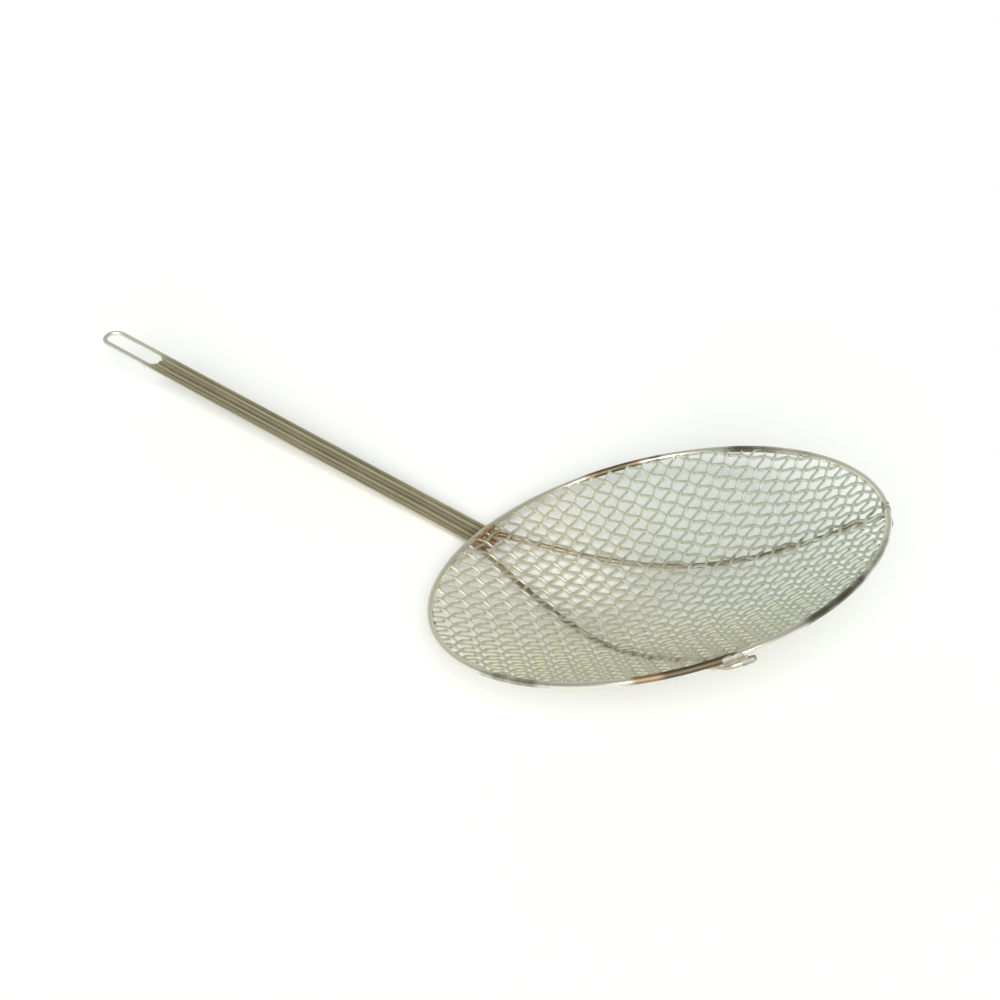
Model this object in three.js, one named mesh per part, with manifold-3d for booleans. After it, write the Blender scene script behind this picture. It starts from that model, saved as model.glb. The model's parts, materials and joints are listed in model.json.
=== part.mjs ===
// Round wire-mesh skimmer: a dished net in a wire hoop, carried by a handle of five parallel wires.
// One long frame wire bends into the hanging loop, runs down both sides of the handle, passes under
// the hoop and spreads below the net as two ribs. Three shorter wires fill the handle between its sides.
// Millimetres, +Z up, +X from the hanging loop towards the bowl, lying on a table as it comes to rest.
// The shapes are drawn with the hoop level and its middle at the origin, and then tipped to rest.
import * as THREE from 'three';
import { mergeVertices } from 'three/addons/utils/BufferGeometryUtils.js';
import Module from 'manifold-3d';

// Hoop and bowl
const hoopRadius = 100; // middle of the hoop wire
const hoopWire = 3;
const bowlDepth = 27; // middle of the net below the middle of the hoop
const bowlEdgeEase = 0.28; // share by which the wall eases off towards the hoop, 0 for a parabola

// Net, with fewer and stronger wires than the woven cloth it stands for
const netPitch = 12;
const netWire = 1.8;
const netHem = 1.6;

// Handle and ribs
const frameWire = 2.4;
const handleLength = 252.5; // from the middle of the hoop wire to the far end of the hanging loop
const handleRise = THREE.MathUtils.degToRad(22);
const pitchAtLoop = 2.74; // spacing of the five handle wires beside the hanging loop
const pitchAtHoop = 2.9; // and where they pass under the hoop
const outerWire = 2; // pitches from the handle's line to its outer wires
const slotLength = 37;
const innerWireTail = 6; // how far the three inner wires reach past the hoop
const ribSpread = THREE.MathUtils.degToRad(38); // where a rib meets the far hoop, from the handle's line
const ribFoot = 11; // rib end that lies along the hoop
const ribBend = 4; // length cut off the corner on each side where a rib turns into its foot
const ribLeaves = 3; // power of the radius by which a rib leaves the net for the hoop

// Brazed joints
const hoopBrazeInside = 5; // reach of the handle's braze inside the hoop
const hoopBrazeOutside = 4; // and outside it
const loopBrazeLength = 8;
const brazeThickness = 1;
const footBead = 1.6; // diameter of the bead along a rib foot

// Fits
const seatGap = 0.3; // between pieces that touch on the real object
const ribGap = 0.5; // between the net and the ribs that carry it
const footGap = 1.4; // between the hoop and the rib feet, which hang in brazing metal below it

// Fineness of the round shapes
const wireSides = 8;
const hoopSteps = 64;
const ribSteps = 12;
const footSteps = 3;
const loopSteps = 10;
const tiltRounds = 40;

// Sizes that follow from those above
const dropAtHoop = hoopWire / 2 + seatGap + frameWire / 2; // wires that pass under the hoop
const dropAtFoot = hoopWire / 2 + footGap + frameWire / 2; // rib feet below the hoop
const dropAtNet = netWire / 2 + ribGap + frameWire / 2; // ribs below the net
const netRadius = hoopRadius - hoopWire / 2 - seatGap;
const loopRadius = outerWire * pitchAtLoop;
const loopStart = handleLength - loopRadius;
const innerWireEnd = handleLength - frameWire / 2 - slotLength;
const footAngle = ribFoot / hoopRadius;

const steel = { color: 0x8d8874, roughness: 0.38, metalness: 0.9 };
const brightSteel = { color: 0xb9b2a0, roughness: 0.3, metalness: 0.95 };
const tinnedSteel = { color: 0xc6cabb, roughness: 0.42, metalness: 0.85 };
const braze = { color: 0x8a5f3c, roughness: 0.5, metalness: 0.8 };

const wasm = await Module();
wasm.setup();

// A curve through given stations, whose sweep has one ring at each station
class StationPath extends THREE.Curve {
  constructor(stations) {
    super();
    this.stations = stations;
  }

  getPoint(t, target = new THREE.Vector3()) {
    const place = t * (this.stations.length - 1);
    const index = Math.min(Math.floor(place), this.stations.length - 2);
    return target.lerpVectors(this.stations[index], this.stations[index + 1], place - index);
  }

  getPointAt(u, target) {
    return this.getPoint(u, target);
  }

  getTangentAt(u, target) {
    return this.getTangent(u, target);
  }
}

function roundSection(diameter) {
  const corners = [];
  for (let side = 0; side < wireSides; side += 1) {
    const angle = (2 * Math.PI * side) / wireSides;
    corners.push(new THREE.Vector2(Math.cos(angle), Math.sin(angle)).multiplyScalar(diameter / 2));
  }
  return new THREE.Shape(corners);
}

function wireAlong(stations, diameter) {
  return new THREE.ExtrudeGeometry(roundSection(diameter), {
    steps: stations.length - 1,
    extrudePath: new StationPath(stations),
  });
}

function toSolid(geometry) {
  const bare = geometry.clone();
  bare.deleteAttribute('normal');
  bare.deleteAttribute('uv');
  const merged = mergeVertices(bare);
  const index = merged.index.array;
  const triangles = [];
  for (let i = 0; i < index.length; i += 3) {
    const [a, b, c] = [index[i], index[i + 1], index[i + 2]];
    if (a !== b && b !== c && c !== a) triangles.push(a, b, c);
  }
  return new wasm.Manifold(new wasm.Mesh({
    numProp: 3,
    vertProperties: new Float32Array(merged.attributes.position.array),
    triVerts: new Uint32Array(triangles),
  }));
}

function toGeometry(solid) {
  const { vertProperties, triVerts } = solid.getMesh();
  const geometry = new THREE.BufferGeometry();
  geometry.setAttribute('position', new THREE.BufferAttribute(vertProperties, 3));
  geometry.setIndex(new THREE.BufferAttribute(triVerts, 1));
  return geometry;
}

function piece(name, geometry, finish) {
  const mesh = new THREE.Mesh(geometry, new THREE.MeshStandardMaterial(finish));
  mesh.name = name;
  return mesh;
}

// Height of the middle of the net at a distance from the bowl's axis
function dishHeight(radius) {
  const share = (radius / hoopRadius) ** 2;
  return -bowlDepth * (1 - share) * (1 - bowlEdgeEase * share);
}

// A point on the handle's slope, at a distance out from the hoop
function handlePoint(distance, y) {
  const x = -hoopRadius - distance * Math.cos(handleRise);
  const z = -dropAtHoop + distance * Math.sin(handleRise);
  return new THREE.Vector3(x, y, z);
}

function handlePitch(distance) {
  return THREE.MathUtils.mapLinear(distance, 0, loopStart, pitchAtHoop, pitchAtLoop);
}

// A point of a rib's foot under the hoop, at an angle from the far end of the handle's line
function footPoint(angle, side) {
  return new THREE.Vector3(hoopRadius * Math.cos(angle), side * hoopRadius * Math.sin(angle), -dropAtFoot);
}

// A point on the rib, which is straight in plan and follows the net from below
function ribPoint(side, share) {
  const start = handlePoint(0, side * outerWire * pitchAtHoop);
  const point = start.lerp(footPoint(ribSpread, side), share);
  const radius = Math.hypot(point.x, point.y);
  const reach = Math.min(radius, hoopRadius);
  const dropAtRim = THREE.MathUtils.lerp(dropAtHoop, dropAtFoot, share);
  const drop = THREE.MathUtils.lerp(dropAtNet, dropAtRim, (reach / hoopRadius) ** ribLeaves);
  point.z = dishHeight(reach) - drop;
  return point;
}

// One side of the frame wire, from the tip of the rib's foot to the start of the hanging loop
function frameSide(side) {
  const stations = [];
  const turn = ribBend / hoopRadius;
  for (let step = 0; step <= footSteps; step += 1) {
    const angle = THREE.MathUtils.lerp(ribSpread - footAngle, ribSpread - turn, step / footSteps);
    stations.push(footPoint(angle, side));
  }
  const ribLength = handlePoint(0, side * outerWire * pitchAtHoop).distanceTo(footPoint(ribSpread, side));
  const lastShare = 1 - ribBend / ribLength;
  for (let step = ribSteps; step >= 0; step -= 1) {
    stations.push(ribPoint(side, (lastShare * step) / ribSteps));
  }
  stations.push(handlePoint(loopStart, side * loopRadius));
  return stations;
}

function hangingLoop() {
  const stations = [];
  for (let step = 1; step < loopSteps; step += 1) {
    const angle = (Math.PI * step) / loopSteps;
    const distance = loopStart + loopRadius * Math.sin(angle);
    stations.push(handlePoint(distance, loopRadius * Math.cos(angle)));
  }
  return stations;
}

function frameWireShape() {
  const stations = [...frameSide(1), ...hangingLoop(), ...frameSide(-1).reverse()];
  return wireAlong(stations, frameWire);
}

// One inner wire, a number of pitches away from the handle's line
function innerHandleWire(pitches) {
  const bowlEnd = handlePoint(-innerWireTail, pitches * handlePitch(-innerWireTail));
  const loopEnd = handlePoint(innerWireEnd, pitches * handlePitch(innerWireEnd));
  return wireAlong([bowlEnd, loopEnd], frameWire);
}

// The net's wires, along and across the handle's line, as one lattice wider than the bowl
function netLattice() {
  const count = Math.ceil(netRadius / netPitch);
  const lines = [];
  for (let wire = -count; wire <= count; wire += 1) {
    lines.push(wire * netPitch - netWire / 2, wire * netPitch + netWire / 2);
  }
  const last = lines.length - 1;
  const isSolid = (row, column) => {
    const inside = row >= 0 && column >= 0 && row < last && column < last;
    return inside && (row % 2 === 0 || column % 2 === 0);
  };
  const positions = [];
  for (const x of lines) {
    for (const y of lines) {
      const height = dishHeight(Math.hypot(x, y));
      positions.push(x, y, height - netWire / 2, x, y, height + netWire / 2);
    }
  }
  const corner = (row, column, layer) => 2 * (row * lines.length + column) + layer;
  const triangles = [];
  const quad = (a, b, c, d) => triangles.push(a, b, c, a, c, d);
  const wall = (rowA, columnA, rowB, columnB) => quad(
    corner(rowA, columnA, 0),
    corner(rowB, columnB, 0),
    corner(rowB, columnB, 1),
    corner(rowA, columnA, 1),
  );
  for (let row = 0; row < last; row += 1) {
    for (let column = 0; column < last; column += 1) {
      if (isSolid(row, column)) {
        const cell = [[row, column], [row + 1, column], [row + 1, column + 1], [row, column + 1]];
        const [a, b, c, d] = cell;
        quad(...cell.map(([i, j]) => corner(i, j, 1)));
        quad(...cell.toReversed().map(([i, j]) => corner(i, j, 0)));
        if (!isSolid(row, column - 1)) wall(...a, ...b);
        if (!isSolid(row + 1, column)) wall(...b, ...c);
        if (!isSolid(row, column + 1)) wall(...c, ...d);
        if (!isSolid(row - 1, column)) wall(...d, ...a);
      }
    }
  }
  const geometry = new THREE.BufferGeometry();
  geometry.setAttribute('position', new THREE.Float32BufferAttribute(positions, 3));
  geometry.setIndex(triangles);
  return geometry;
}

// The net's edge, where the wires' ends are joined in one ring beside the hoop
function netHemRing() {
  const inner = netRadius - netHem;
  const corners = [
    new THREE.Vector2(inner, dishHeight(inner) - netWire / 2),
    new THREE.Vector2(netRadius, dishHeight(netRadius) - netWire / 2),
    new THREE.Vector2(netRadius, dishHeight(netRadius) + netWire / 2),
    new THREE.Vector2(inner, dishHeight(inner) + netWire / 2),
  ];
  const ring = new THREE.LatheGeometry([...corners, corners[0]], hoopSteps);
  return ring.rotateX(Math.PI / 2);
}

function netShape() {
  const trimRadius = netRadius - netHem / 2;
  const trimHeight = 4 * bowlDepth;
  const trim = new THREE.CylinderGeometry(trimRadius, trimRadius, trimHeight, hoopSteps);
  trim.rotateX(Math.PI / 2);
  const wires = toSolid(netLattice()).intersect(toSolid(trim));
  return toGeometry(wires.add(toSolid(netHemRing())));
}

// A brazed seam across the underside of the handle wires
function brazeStrip(length, pitch) {
  const strip = new THREE.BoxGeometry(2 * outerWire * pitch, brazeThickness, length);
  return strip.translate(0, -(frameWire + brazeThickness) / 2 - seatGap, length / 2);
}

// Seats a strip on the handle's slope, with its far end at a distance out from the hoop
function seatStrip(mesh, farEnd) {
  const along = new THREE.Vector3(Math.cos(handleRise), 0, -Math.sin(handleRise));
  const across = new THREE.Vector3(0, 1, 0);
  const up = new THREE.Vector3(Math.sin(handleRise), 0, Math.cos(handleRise));
  mesh.quaternion.setFromRotationMatrix(new THREE.Matrix4().makeBasis(across, up, along));
  mesh.position.copy(handlePoint(farEnd, 0));
  return mesh;
}

// A bead in the outer corner between a rib's foot and the hoop above it
function footBrazeShape(side) {
  const toHoop = hoopWire / 2 + seatGap + footBead / 2;
  const toFoot = frameWire / 2 + seatGap + footBead / 2;
  const below = (dropAtFoot ** 2 + toHoop ** 2 - toFoot ** 2) / (2 * dropAtFoot);
  const radius = hoopRadius + Math.sqrt(toHoop ** 2 - below ** 2);
  const stations = [];
  for (let step = 0; step <= footSteps; step += 1) {
    const angle = THREE.MathUtils.lerp(ribSpread - footAngle, ribSpread, step / footSteps);
    stations.push(new THREE.Vector3(radius * Math.cos(angle), side * radius * Math.sin(angle), -below));
  }
  return wireAlong(stations, footBead);
}

const hoopBrazeLength = hoopBrazeInside + hoopBrazeOutside;
const hoopBraze = piece('handle_braze', brazeStrip(hoopBrazeLength, pitchAtHoop), braze);
const loopBrazeMiddle = innerWireEnd - loopBrazeLength / 2;
const loopBraze = piece('loop_braze', brazeStrip(loopBrazeLength, handlePitch(loopBrazeMiddle)), braze);
const hoop = new THREE.TorusGeometry(hoopRadius, hoopWire / 2, wireSides, hoopSteps);

const skimmer = new THREE.Group();
skimmer.add(
  piece('rim_hoop', hoop, brightSteel),
  piece('mesh_bowl', netShape(), tinnedSteel),
  piece('frame_wire', frameWireShape(), steel),
  piece('handle_wire_left', innerHandleWire(1), steel),
  piece('handle_wire_middle', innerHandleWire(0), steel),
  piece('handle_wire_right', innerHandleWire(-1), steel),
  seatStrip(hoopBraze, hoopBrazeOutside),
  seatStrip(loopBraze, innerWireEnd),
  piece('rib_braze_left', footBrazeShape(1), braze),
  piece('rib_braze_right', footBrazeShape(-1), braze),
);

function lowestPoint(name) {
  return new THREE.Box3().setFromObject(skimmer.getObjectByName(name), true).min.z;
}

// At rest the skimmer is tipped back on its ribs and on the braze under the hoop
let tooLevel = 0;
let tooSteep = handleRise;
for (let round = 0; round < tiltRounds; round += 1) {
  const tilt = (tooLevel + tooSteep) / 2;
  skimmer.rotation.y = -tilt;
  skimmer.updateMatrixWorld();
  if (lowestPoint('handle_braze') > lowestPoint('frame_wire')) {
    tooLevel = tilt;
  } else {
    tooSteep = tilt;
  }
}

// The origin is on the table, below the middle of the whole skimmer
const box = new THREE.Box3().setFromObject(skimmer, true);
const boxMiddle = box.getCenter(new THREE.Vector3());
skimmer.position.set(-boxMiddle.x, -boxMiddle.y, -box.min.z);

export default skimmer;
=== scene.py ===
import json
import math
from contextlib import contextmanager

import bmesh
import bpy
import numpy as np
from bpy.props import FloatProperty, FloatVectorProperty, IntProperty, PointerProperty
from mathutils import Matrix, Vector


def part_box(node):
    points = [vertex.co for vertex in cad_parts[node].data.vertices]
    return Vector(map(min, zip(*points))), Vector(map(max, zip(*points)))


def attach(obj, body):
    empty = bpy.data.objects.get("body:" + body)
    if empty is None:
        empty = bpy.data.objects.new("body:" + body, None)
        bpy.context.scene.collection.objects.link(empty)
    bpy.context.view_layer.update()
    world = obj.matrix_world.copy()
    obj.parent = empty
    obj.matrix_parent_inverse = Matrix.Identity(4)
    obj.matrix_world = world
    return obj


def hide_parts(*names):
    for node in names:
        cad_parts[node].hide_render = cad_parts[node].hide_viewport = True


bl_info = {
    "name": "Wire Skimmer",
    "version": (1, 0, 0),
    "blender": (4, 5, 0),
    "location": "3D View > Sidebar > Skimmer",
    "description": "Models a round wire skimmer over its packed frame",
    "category": "Object",
}

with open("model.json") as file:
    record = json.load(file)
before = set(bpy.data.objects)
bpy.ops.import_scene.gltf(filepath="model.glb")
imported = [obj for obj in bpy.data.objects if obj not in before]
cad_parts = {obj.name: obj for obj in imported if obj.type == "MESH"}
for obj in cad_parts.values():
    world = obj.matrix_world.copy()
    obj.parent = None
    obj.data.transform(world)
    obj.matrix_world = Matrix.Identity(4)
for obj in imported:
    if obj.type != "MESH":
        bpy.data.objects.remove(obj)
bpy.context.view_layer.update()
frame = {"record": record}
HOOP_LOW, HOOP_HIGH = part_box("rim_hoop")
LOOP_AXIS = frame["record"]["mounts"][0]["axis"]
FLAT = Vector((1, 1, 0))

# Fineness of the shapes
WIRE_SIDES = 16
CLOTH_SIDES = 8
SLOT_SIDES = 48
HOOP_STEPS = 288
WAVE_STEPS = 12
FOOT_STEPS = 8
FOOT_BEND_STEPS = 9
RIB_STEPS = 64
JOINT_BEND_STEPS = 7
HANDLE_STEPS = 20
LOOP_STEPS = 13
INNER_STEPS = 32
COAT_STEPS = 4
SEAM_STEPS = 9
ROUNDING_STEPS = 3
STAIN_STEPS = 80
SMOOTHING = 0.5
SMOOTHING_ROUNDS = 14
SMOOTH_ANGLE = math.radians(45)
WEAVE_MERGE = 1e-6
MIRROR_MERGE = 1e-5
TINY = 1e-9

# Places on the hoop that are browned, and places that are darkened, partly by burns and partly by painted
# shade: degrees from the far end, reach in degrees, amount
HOOP_BROWN = ((137, 9, 0.85), (176, 13, 0.27), (312, 12, 1.0))
HOOP_BURNS_AND_SHADE = (
    (13, 12, 0.52), (83, 10, 0.46), (97, 13, 0.65), (125, 8, 0.58), (137, 10, 0.68),
    (167, 5, 0.42), (271, 13.5, 0.61), (313, 7, 0.95), (319, 6, 0.88), (353, 14, 0.76),
)

# Places on the ribs that are browned or burnt: share of the rib from the handle, side
RIB_BROWN = ((0.02, 1), (0.02, -1), (0.66, -1))
RIB_BURNT = (
    (0.55, 1), (0.7, 1), (0.81, 1), (0.92, 1), (0.2, -1), (0.35, -1), (0.5, -1), (0.6, -1), (0.7, -1),
)

# Stretches of the ribs that tinted the cloth above them: side, first and last share, amount
RIB_STAINS = ((1, 0.0, 1.0, 0.45), (-1, 0.0, 1.0, 0.45), (1, 0.6, 1.0, 0.75), (-1, 0.5, 0.85, 0.75))

# Inner handle wires: pitches from the handle's line, name, painted lightness: above zero a painted highlight,
# below zero painted shade
INNER_WIRES = ((1, "left", 0.35), (0, "middle", -0.3), (-1, "right", 0.2))

# Painted lightness of the frame wire, a painted shade, and the sides and names of its ribs
FRAME_PAINTED_SHADE = -0.15
RIB_SIDES = ((1, "left"), (-1, "right"))

# Unevenness of the wires: shares of a wire's thickness, metres, radians in a metre and between neighbours
HOOP_WANDER = 0.06
HOOP_WAVE = 0.012
END_ROUNDING = 0.12
SWAY = 0.00006
SWAY_RATE = 31
SWAY_SHIFT = 2

# Power of the radius by which a rib leaves the cloth for the hoop
RIB_LEAVES = 3

# Brazing metal: sag and ripples in metres, share of the slot's round end that it reaches around
FOOT_HOOP_SAG = 0.0002
RIPPLE = 0.0022
HANDLE_SWELL = 0.00035
SWELL = 0.0003
SLOT_CUT = 0.02
LOOP_FILL = 0.9

# Heat marks, and the darkened tip of a foot: reach in metres, and strength
RIB_FADE = 0.003
LOOP_FADE = 0.002
HANDLE_BROWN_REACH = 0.009
RIB_BROWN_REACH = 0.008
RIB_BURN_REACH = 0.012
# Darkening of the cut end of the right rib's foot: reach in metres, and strength
TIP_DARK_REACH = 0.0012
TIP_DARK = 2
CLOTH_BROWN_REACH = 0.013
CLOTH_BROWN = 0.8
STAIN_REACH = 0.002
STAIN_SHIFT = 0.0028
HANDLE_COPPER = 1.0
FOOT_COPPER = 0.05

# Finishes: least roughness, height of the relief in metres, share of bare metal
FRAME_ROUGHNESS = 0.26
FRAME_RELIEF = 0.00005
HOOP_ROUGHNESS = 0.24
HOOP_RELIEF = 0.00004
HOOP_BARENESS = 0.94
CLOTH_ROUGHNESS = 0.34
CLOTH_RELIEF = 0.00004
CLOTH_BARENESS = 0.78
BRAZE_ROUGHNESS = 0.52
BRAZE_RELIEF = 0.00012
RELIEF_STRENGTH = 0.6

# Direction in which the cloth turns from beige to sage
CLOTH_CHANGE = (1, 1.6, 0)

# Studio: heights and the window's edge as parts of a unit direction, floor in metres
WALL_HEIGHT = 0.06
CEILING_HEIGHT = 0.75
WINDOW_EDGE = 0.3
FLOOR_SIZE = 200


class SkimmerSizes(bpy.types.PropertyGroup):
    """Sizes of the skimmer, drawn with the hoop level and its middle at the origin."""

    hoop_radius: FloatProperty(
        name="Hoop radius", description="Middle of the hoop wire from the bowl's axis",
        default=0.1, unit="LENGTH",
    )
    hoop_wire: FloatProperty(
        name="Hoop wire", description="Thickness of the hoop", default=0.003, unit="LENGTH"
    )
    bowl_depth: FloatProperty(
        name="Bowl depth", description="Middle of the cloth below the hoop", default=0.027, unit="LENGTH"
    )
    edge_ease: FloatProperty(
        name="Edge ease", description="Share by which the bowl eases off at the hoop",
        default=0.28, subtype="FACTOR",
    )
    cloth_pitch: FloatProperty(
        name="Cloth pitch", description="Spacing of the woven wires", default=0.00635, unit="LENGTH"
    )
    cloth_wire: FloatProperty(
        name="Cloth wire", description="Thickness of the woven wires", default=0.0014, unit="LENGTH"
    )
    cloth_turn: FloatProperty(
        name="Cloth turn", description="Turn of the weave from the handle's line",
        default=math.radians(3), subtype="ANGLE",
    )
    cloth_reach: FloatProperty(
        name="Cloth reach", description="How far the woven wires run into the hoop",
        default=0.0007, unit="LENGTH",
    )
    frame_wire: FloatProperty(
        name="Frame wire", description="Thickness of the handle and rib wires", default=0.0024, unit="LENGTH"
    )
    handle_length: FloatProperty(
        name="Handle length", description="From the hoop to the end of the loop",
        default=0.2525, unit="LENGTH",
    )
    handle_rise: FloatProperty(
        name="Handle rise", description="Slope of the handle from the hoop",
        default=math.radians(22), subtype="ANGLE",
    )
    pitch_at_loop: FloatProperty(
        name="Pitch at loop", description="Spacing of the handle wires at the loop",
        default=0.00274, unit="LENGTH",
    )
    pitch_at_hoop: FloatProperty(
        name="Pitch at hoop", description="Spacing of the handle wires at the hoop",
        default=0.0029, unit="LENGTH",
    )
    outer_wire: IntProperty(
        name="Outer wire", description="Pitches from the handle's line to its outer wires", default=2
    )
    slot_length: FloatProperty(
        name="Slot length", description="Open length of the hanging loop", default=0.037, unit="LENGTH"
    )
    inner_tail: FloatProperty(
        name="Inner tail", description="Reach of the inner wires past the hoop", default=0.006, unit="LENGTH"
    )
    rib_spread: FloatProperty(
        name="Rib spread", description="Where a rib meets the hoop", default=math.radians(38), subtype="ANGLE"
    )
    rib_foot: FloatProperty(
        name="Rib foot", description="Rib end that lies along the hoop", default=0.011, unit="LENGTH"
    )
    rib_bend: FloatProperty(
        name="Rib bend", description="Corner cut by the bend of the foot", default=0.004, unit="LENGTH"
    )
    joint_bend: FloatProperty(
        name="Joint bend", description="Corner cut where a rib turns into the handle",
        default=0.006, unit="LENGTH",
    )
    seat_gap: FloatProperty(
        name="Seat gap", description="Clearance below the hoop", default=0.0003, unit="LENGTH"
    )
    foot_gap: FloatProperty(
        name="Foot gap", description="Brazed gap between the hoop and a rib's foot",
        default=0.0014, unit="LENGTH",
    )


class SkimmerBrazes(bpy.types.PropertyGroup):
    """Sizes of the brazing metal."""

    coat: FloatProperty(
        name="Coat", description="Thickness of the brazing metal on a wire", default=0.0003, unit="LENGTH"
    )
    hoop_coat: FloatProperty(
        name="Hoop coat", description="Thickness added to the hoop at the handle",
        default=0.00042, unit="LENGTH",
    )
    foot_hoop_coat: FloatProperty(
        name="Foot hoop coat", description="Thickness added to the hoop at a rib's foot",
        default=0.00036, unit="LENGTH",
    )
    foot_web: FloatProperty(
        name="Foot web", description="Thickness of the metal in a foot's gap", default=0.0021, unit="LENGTH"
    )
    seam_along: FloatProperty(
        name="Seam along", description="Reach of a foot's braze from the rib's bend along the foot",
        default=0.008, unit="LENGTH",
    )
    seam_past: FloatProperty(
        name="Seam past", description="Reach of a foot's braze past the rib's bend",
        default=0.004, unit="LENGTH",
    )
    coat_inside: FloatProperty(
        name="Coat inside", description="Reach of the coat on the handle wires inside the hoop",
        default=0.0042, unit="LENGTH",
    )
    coat_outside: FloatProperty(
        name="Coat outside", description="Reach of the coat on the handle wires outside the hoop",
        default=0.0034, unit="LENGTH",
    )
    pool_inside: FloatProperty(
        name="Pool inside", description="Reach of the pool below the handle inside the hoop",
        default=0.0046, unit="LENGTH",
    )
    pool_outside: FloatProperty(
        name="Pool outside", description="Reach of the pool below the handle outside the hoop",
        default=0.0036, unit="LENGTH",
    )
    pool_depth: FloatProperty(
        name="Pool depth", description="Depth of a pool below the wires", default=0.001, unit="LENGTH"
    )
    pool_rise: FloatProperty(
        name="Pool rise", description="Top of a pool above the middle of the wires",
        default=0.00048, unit="LENGTH",
    )
    pool_rounding: FloatProperty(
        name="Pool rounding", description="Rounding of a pool's edges", default=0.0008, unit="LENGTH"
    )
    loop_length: FloatProperty(
        name="Loop length", description="Length of the pool beside the hanging loop",
        default=0.0078, unit="LENGTH",
    )
    grain: FloatProperty(
        name="Grain", description="Fineness of the brazed surfaces", default=0.0002, unit="LENGTH"
    )


class SkimmerColours(bpy.types.PropertyGroup):
    """Colours of the skimmer's finishes."""

    hoop_steel: FloatVectorProperty(
        name="Hoop steel", description="Bright wire of the hoop", default=(0.8, 0.775, 0.665), subtype="COLOR"
    )
    cloth_beige: FloatVectorProperty(
        name="Cloth beige", description="Tin of the cloth beside the handle",
        default=(0.755, 0.735, 0.58), subtype="COLOR",
    )
    cloth_sage: FloatVectorProperty(
        name="Cloth sage", description="Tin of the cloth at the far side",
        default=(0.665, 0.72, 0.6), subtype="COLOR",
    )
    frame_steel: FloatVectorProperty(
        name="Frame steel", description="Plated wire of the handle",
        default=(0.6, 0.545, 0.38), subtype="COLOR",
    )
    # Paler than the handle's wire, partly as a painted reflection
    loop_steel_and_sheen: FloatVectorProperty(
        name="Loop steel", description="Bare wire of the hanging loop",
        default=(0.88, 0.89, 0.78), subtype="COLOR",
    )
    rib_tan: FloatVectorProperty(
        name="Rib tan", description="Heated wire of the ribs", default=(0.56, 0.48, 0.35), subtype="COLOR"
    )
    heat_brown: FloatVectorProperty(
        name="Heat brown", description="Tint of wire that was heated",
        default=(0.3, 0.2, 0.11), subtype="COLOR",
    )
    braze_copper: FloatVectorProperty(
        name="Braze copper", description="Brazing metal", default=(0.46, 0.325, 0.19), subtype="COLOR"
    )
    # Dark of burns, and of the painted shade on the hoop
    burn_and_shade_dark: FloatVectorProperty(
        name="Scale dark", description="Burnt skin on heated metal",
        default=(0.1, 0.085, 0.05), subtype="COLOR",
    )


class SkimmerStage(bpy.types.PropertyGroup):
    """Camera, floor and light."""

    camera_place: FloatVectorProperty(
        name="Camera place", description="Where the camera stands, from the hoop",
        default=(0.49191, -0.5459, 0.37246), subtype="TRANSLATION",
    )
    camera_turn: FloatVectorProperty(
        name="Camera turn", description="How the camera is turned, from the hoop", subtype="EULER",
        default=(math.radians(65.0845), math.radians(14.7615), math.radians(39.7081)),
    )
    lens: FloatProperty(name="Lens", description="Focal length in millimetres", default=68.832)
    sun_strength: FloatProperty(name="Key light", description="Strength of the key light", default=4.0)
    sun_softness: FloatProperty(
        name="Key softness", description="Width of the key light", default=math.radians(48), subtype="ANGLE"
    )
    sun_height: FloatProperty(
        name="Key height", description="Height of the key light", default=math.radians(35), subtype="ANGLE"
    )
    sun_side: FloatProperty(
        name="Key side", description="Direction of the key light", default=math.radians(-53), subtype="ANGLE"
    )
    sun_tint: FloatVectorProperty(
        name="Key tint", description="Colour of the key light", default=(1.0, 0.985, 1.0), subtype="COLOR"
    )
    wall: FloatProperty(name="Wall", description="Brightness of the low wall along the floor", default=1.05)
    horizon: FloatProperty(name="Horizon", description="Brightness above the low wall", default=0.36)
    ceiling: FloatProperty(name="Ceiling", description="Brightness of the studio overhead", default=0.21)
    window: FloatProperty(name="Window", description="Brightness added by a wide window", default=0.27)
    window_side: FloatVectorProperty(
        name="Window side", description="Direction of the window",
        default=(-0.55, 0.45, 0.7), subtype="DIRECTION",
    )
    studio_tint: FloatVectorProperty(
        name="Studio tint", description="Colour of the studio's light",
        default=(0.96, 1.0, 0.96), subtype="COLOR",
    )
    floor_white: FloatVectorProperty(
        name="Floor white", description="Colour of the floor", default=(0.945, 0.955, 0.925), subtype="COLOR"
    )
    floor_lift: FloatProperty(name="Floor lift", description="Glow of the floor as a backdrop", default=0.02)


class Value:
    """An output socket, with arithmetic that adds Math nodes."""

    def __init__(self, finish, socket):
        self.finish = finish
        self.socket = socket

    def math(self, operation, first, second):
        return self.finish.node("ShaderNodeMath", {"operation": operation}, {0: first, 1: second})

    def __add__(self, other):
        return self.math("ADD", self, other)

    def __radd__(self, other):
        return self.math("ADD", other, self)

    def __sub__(self, other):
        return self.math("SUBTRACT", self, other)

    def __rsub__(self, other):
        return self.math("SUBTRACT", other, self)

    def __mul__(self, other):
        return self.math("MULTIPLY", self, other)

    def __rmul__(self, other):
        return self.math("MULTIPLY", other, self)


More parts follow.
